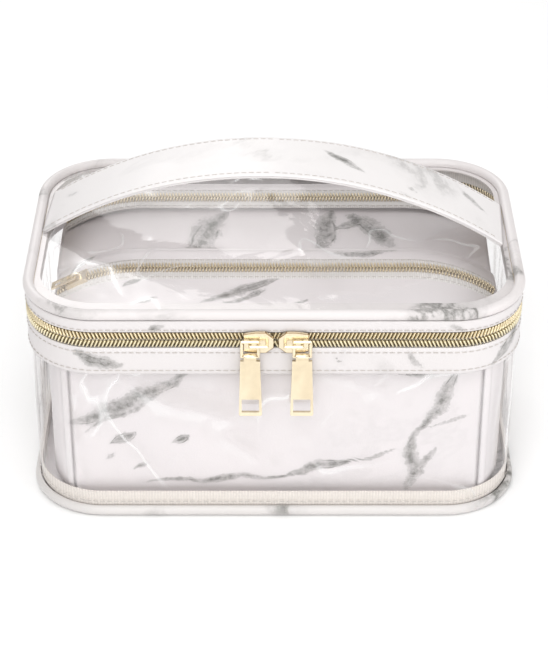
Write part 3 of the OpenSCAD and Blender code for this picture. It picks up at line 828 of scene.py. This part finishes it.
def pouch(name, spec, nodes, *veins):
    """A stuffed pouch: rows of the outline from the front edge to the back edge, closed by crowned panels."""
    outline = pouch_outline(spec)
    middle = np.array((0.0, (spec["top"] + POUCH_FLOOR) / 2))
    y0, y1 = spec["front"], spec["back"]
    edge = [(0.0, 2.6), (0.3, 1.4), (0.9, 0.6), (1.8, 0.15), (2.6, 0.05), (3.1, 0.35), (3.7, 0.0)]
    rows = [(y0 + d, inset) for d, inset in edge]
    rows += [(y, 0.0) for y in np.linspace(y0 + 7, y1 - 7, 26)]
    rows += [(y1 - d, inset) for d, inset in edge[::-1]]
    points, cols = [], len(outline)

    def place(x, y, z, sag):
        wide = pouch_width(y) / POUCH_HALF
        px, pz = x * wide, z + lean(spec, x, y, z)
        n = sag * wobble((px, y, pz), 30, 1.7) + 0.35 * sag * wobble((px, y, pz), 11, 4.1)
        return px, pz, n

    for y, inset in rows:
        across = math.sin(math.pi * max(0.0, min(1.0, (y - y0) / (y1 - y0))))
        for (x, z) in outline:
            out = np.array((x, z)) - middle
            size = np.linalg.norm(out)
            share = 1 - inset / size
            qx, qz = middle + out * share
            px, pz, n = place(qx, y, qz, 1.0)
            flat = 0.25 if z > spec["top"] - 26 or z < POUCH_FLOOR + 3 else 1.0
            swell = (1.1 * across + 0.8 * n * across) * flat
            px += out[0] / size * swell
            pz = max(POUCH_FLOOR, pz + out[1] / size * swell)
            points.append((px + spec["mid"], y, pz))
    faces = grid_faces(len(rows), cols, wrap=True)

    for front in (True, False):  # the two crowned panels
        y_edge, sign = (y0, -1) if front else (y1, 1)
        start = len(points)
        first = 0 if front else (len(rows) - 1) * cols
        rings = 46
        for r in range(1, rings):
            share = 1 - r / rings
            for (x, z) in outline:
                out = np.array((x, z)) - middle
                base = middle + out * (1 - 2.6 / np.linalg.norm(out))
                qx, qz = middle + (base - middle) * share
                px, pz, n = place(qx, y_edge, qz, 1.0)
                crown = 1 - share ** 4
                ripple = math.sin(qx / 21 + 1.3 * wobble((qx, 0, qz), 40, 9))
                bulge = crown * (1.5 + 0.7 * n) + 0.4 * crown * ripple
                points.append((px + spec["mid"], y_edge + sign * max(-0.3, bulge), pz))
        px, pz, n = place(0, y_edge, middle[1], 1.0)
        points.append((px + spec["mid"], y_edge + sign * 1.7, pz))
        centre = len(points) - 1
        panel = [(first + c, first + (c + 1) % cols, start + (c + 1) % cols, start + c) for c in range(cols)]
        panel += grid_faces(rings - 1, cols, wrap=True, start=start)
        last = start + (rings - 2) * cols
        panel += [(last + c, last + (c + 1) % cols, centre) for c in range(cols)]
        faces += panel if front else [f[::-1] for f in panel]
    obj = mesh(name, points, [f[::-1] for f in faces], MARBLE_DRAWN)
    draw_veins(obj, *veins)
    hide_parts(nodes)
    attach(obj, "case")
    return obj


def zip_path(spec, lift, reach=36.0):
    """The line of the pouch's zip over its top: points, normals and distances."""
    top, mid = spec["top"], spec["mid"]
    arc = [math.radians(a) for a in np.linspace(reach, 0, 30)]
    left = [(-ARC_DX - ARC_R * math.sin(a), top - ARC_R + ARC_R * math.cos(a), -math.sin(a), math.cos(a))
            for a in arc]
    right = [(-x, z, -nx, nz) for x, z, nx, nz in left[::-1]]
    line = left + [(x, top, 0.0, 1.0) for x in np.linspace(-ARC_DX + 4, ARC_DX - 4, 30)] + right
    points = np.array([(mid + x + nx * lift, spec["zip_y"], z + nz * lift) for x, z, nx, nz in line])
    ups = np.array([(nx, 0, nz) for _, _, nx, nz in line])
    run = np.concatenate([[0], np.cumsum(np.linalg.norm(np.diff(points, axis=0), axis=1))])
    return points, ups, run


def pouch_zip(name, spec, node):
    """Tapes, two rows of fine teeth and the stitches beside them, along the top of a pouch."""
    shape = Shape()
    points, ups, run = zip_path(spec, 0.0)

    def at(s):
        return [np.array([np.interp(s, run, grid[:, k]) for k in range(3)]) for grid in (points, ups)]

    for side in (-1, 1):  # the two tapes
        strip = []
        stations = np.linspace(0, run[-1], 120)
        for s in stations:
            p, up = at(s)
            for across, height in ((0.5, 0.35), (3.9, 0.6), (7.0, 0.62), (9.2, 0.25), (9.3, -0.2)):
                strip.append(p + up * height + np.array((0, side * across, 0)))
        quads = grid_faces(len(stations), 5)
        shape.add(strip, quads if side < 0 else [q[::-1] for q in quads], 1)
        line = [at(s)[0] + np.array((0, side * 8.0, 0)) + at(s)[1] * 0.45 for s in stations]
        stitch_line(shape, line, [at(s)[1] for s in stations], 2.2, 0.8, 0.2, slot=2, lift=0.12)
    pitch = 1.6
    for k, s in enumerate(np.arange(1.0, run[-1] - 1.0, pitch)):
        for side in (-1, 1):
            p, up = at(s + (pitch / 2 if side > 0 else 0))
            along = np.cross(up, (0, 1, 0))
            centre = p + up * 1.15 + np.array((0, side * 1.85, 0))
            bar = []
            for t, w, h in ((-0.5, 0.38, 0.55), (-0.3, 0.52, 0.85), (0.3, 0.54, 0.88), (0.5, 0.38, 0.60)):
                m = centre + np.array((0, t * 3.7, 0)) + along * t * side * 0.5
                bar += [m + along * w * math.cos(a) + up * h * math.sin(a)
                        for a in np.linspace(0, 2 * math.pi, 6, endpoint=False)]
            ends = [tuple(range(6))[::-1], tuple(18 + i for i in range(6))]
            shape.add(bar, grid_faces(4, 6, wrap=True) + ends, 0)
    obj = shape.object(name, GOLD_SMALL, TAPE, THREAD)
    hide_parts(node)
    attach(obj, "case")


# Where the veins lie: F and T are the front pouch's face and top, R and B the rear one's front and back.
F = FRONT_POUCH["front"] - 1.5
T = FRONT_POUCH["top"]
pouch("front_pouch", FRONT_POUCH, "front_pouch_body",
      # Front: one climbs from the left edge, one falls from the upper right and forks, one runs at the foot.
      vein(4.0, (-105, F, 45), (-40, F, 80), 4), vein(1.2, (-105, F, 38), (-45, F, 75), 5),
      vein(3.2, (90, F, 85), (70, F, 45), 4), vein(3.2, (70, F, 48), (65, F, 8), 4),
      vein(1.6, (80, F, 40), (70, F, 15)), vein(1.1, (70, F, 45), (105, F, 60)),
      vein(2.0, (60, F, 80), (85, F, 80)),
      vein(1.7, (-65, F, 15), (15, F, 20), 5), vein(2.3, (5, F, 20), (40, F, 30), 4),
      vein(1.1, (40, F, 28), (60, F, 35)),
      *flecks(4, 5, (-95, F, 20), (-45, F, 45), (9, 0, 5)),
      # Top, in front of and behind the zip.
      vein(3.0, (5, -25, T), (-35, -50, T), 4), vein(1.5, (-5, -40, T), (-40, -60, T), 3),
      vein(2.4, (60, 0, T), (30, -5, T)), vein(2.4, (-90, 5, 103), (-105, -10, 97)),
      *flecks(11, 6, (-70, -52, T), (75, -26, T), (-9, -7, 0)),
      vein(3.0, (-110, -30, 80), (-110, -28, 44), 4), vein(2.2, (110, -20, 72), (110, -32, 30), 5))

R = REAR_POUCH["front"]
B = REAR_POUCH["back"] + 1.5
pouch("rear_pouch", REAR_POUCH, "rear_pouch_body",
      vein(6.0, (-25, 40, 107), (-45, R, 96), 4), vein(5.0, (30, 40, 106), (20, 15, 98), 4),
      vein(5.0, (40, 40, 106), (60, 15, 98), 4), vein(2.8, (30, 30, 104), (50, 35, 105)),
      vein(2.8, (-70, 65, T), (-80, 55, T)), vein(2.6, (60, 65, T), (75, 55, T)),
      vein(4.0, (-90, B, 60), (-50, B, 90), 5), vein(3.4, (20, B, 20), (84, B, 84), 7),
      vein(2.4, (-40, B, 14), (10, B, 24)),
      vein(3.0, (-110, 50, 90), (-110, 45, 30), 5), vein(2.6, (110, 30, 86), (110, 40, 34), 5))
pouch_zip("front_pouch_zip", FRONT_POUCH, "front_pouch_chain")
pouch_zip("rear_pouch_zip", REAR_POUCH, "rear_pouch_chain")


# ---------------------------------------------------------------- strap handle

def strap_half(name, side, nodes, *veins):
    """Half of the strap, from the top of the arch to the end sewn into the lid, with its stitch rows."""
    rise = STRAP_TOP - (WINDOW_Z + 1.9)
    radius = (FOOT_X ** 2 + rise ** 2) / (2 * rise)
    end = math.asin(FOOT_X / radius)
    half, t = STRAP_W / 2, STRAP_T / 2
    section = [(-half, 0.1), (-half + 0.25, t * 0.8), (-half + 0.9, t)]
    section += [(w, t + 0.12 * math.cos(w / half * math.pi / 2))
                for w in np.linspace(-half + 1.6, half - 1.6, 26)]
    section += [(half - 0.9, t), (half - 0.25, t * 0.8), (half, 0.1), (half - 0.45, 0.0), (half, -0.1),
                (half - 0.25, -t * 0.8), (half - 0.9, -t)]
    section += [(w, -t) for w in np.linspace(half - 1.6, -half + 1.6, 26)]
    section += [(-half + 0.9, -t), (-half + 0.25, -t * 0.8), (-half, -0.1), (-half + 0.45, 0.0)]
    turn = Matrix.Rotation(STRAP_SKEW, 3, "Z")
    steps, points = 110, []

    def frame_at(share):
        a = end * share
        x = side * radius * math.sin(a)
        z = STRAP_TOP - t - radius + radius * math.cos(a)
        out = np.array((side * math.sin(a), 0, math.cos(a)))
        return np.array((x, 0, z)), out

    def put(share, w, h):
        p, out = frame_at(share)
        flex = 0.5 * wobble((p[0], w, 0), 46, 8.0) + 0.12 * wobble((p[0], w * 2, 0), 12, 3.0)
        flex *= 1 - share ** 2
        q = p + out * (h + flex) + np.array((0, w, 0))
        return np.array(turn @ Vector(q)) + np.array((0, STRAP_BACK, 0))

    for i in range(steps):
        for w, h in section:
            points.append(put(i / (steps - 1), w, h))
    shape = Shape()
    k = len(section)
    faces = grid_faces(steps, k, wrap=True) + [tuple((steps - 1) * k + m for m in range(k))]
    shape.add(points, faces if side < 0 else [f[::-1] for f in faces])
    for w in (-half + 2.4, half - 2.4):
        for h in (t + 0.05, -t - 0.05):
            shares = np.linspace(0.004, 0.985, 110)
            line = [put(s, w, h) for s in shares]
            ups = [frame_at(s)[1] * (1 if h > 0 else -1) for s in shares]
            stitch_line(shape, line, ups, 2.6, 1.0, 0.22, slot=1, lift=0.06)
    obj = shape.object(name, MARBLE_STRAP, THREAD)
    draw_veins(obj, *veins)
    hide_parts(*nodes)
    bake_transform(obj)
    return obj


strap_half("strap_left", -1, ("handle_end_left", "handle_strap"),
           vein(2.2, (-105, 30, 120), (-95, 20, 125), 2),
           *flecks(8, 2, (-75, 5, 143), (-55, 25, 145), (2, -8, 0)))
strap_half("strap_right", 1, ("handle_end_right", "handle_lining"),
           vein(2.0, (25, 25, 150), (45, 5, 148), 2), vein(2.0, (90, 25, 130), (105, 10, 122), 2),
           *flecks(2, 3, (45, -5, 142), (70, 10, 146), (10, -5, -2)))
